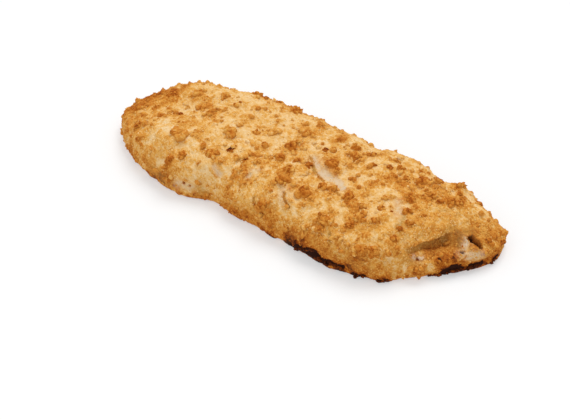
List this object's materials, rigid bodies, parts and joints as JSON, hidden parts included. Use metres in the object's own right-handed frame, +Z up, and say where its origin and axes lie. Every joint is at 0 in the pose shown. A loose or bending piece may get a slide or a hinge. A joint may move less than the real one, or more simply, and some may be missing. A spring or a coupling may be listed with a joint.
{
  "type": "pollock fillet",
  "caption": "Breaded, oven-baked pollock fillet: a long flat piece of fish in a crumb crust, rounded at one end and cut on the slant at the other.",
  "frame": {"origin": "centre of the box on the underside, where the fillet rests", "axes": "+X along the length towards the slanted cut end, +Y towards the back long side, +Z up"},
  "size_m": [0.179, 0.0696, 0.022],
  "materials": {
    "crust": "baked breadcrumb crust, matte and rough, pale cream to golden with brown crumbs and a charred foot",
    "crumb": "toasted bread crumbs, matte, golden brown to dark brown",
    "char": "burnt flakes of crust along the foot, matte, near black brown"
  },
  "bodies": {
    "root": {"fillet": "crust"}
  },
  "joints": []
}
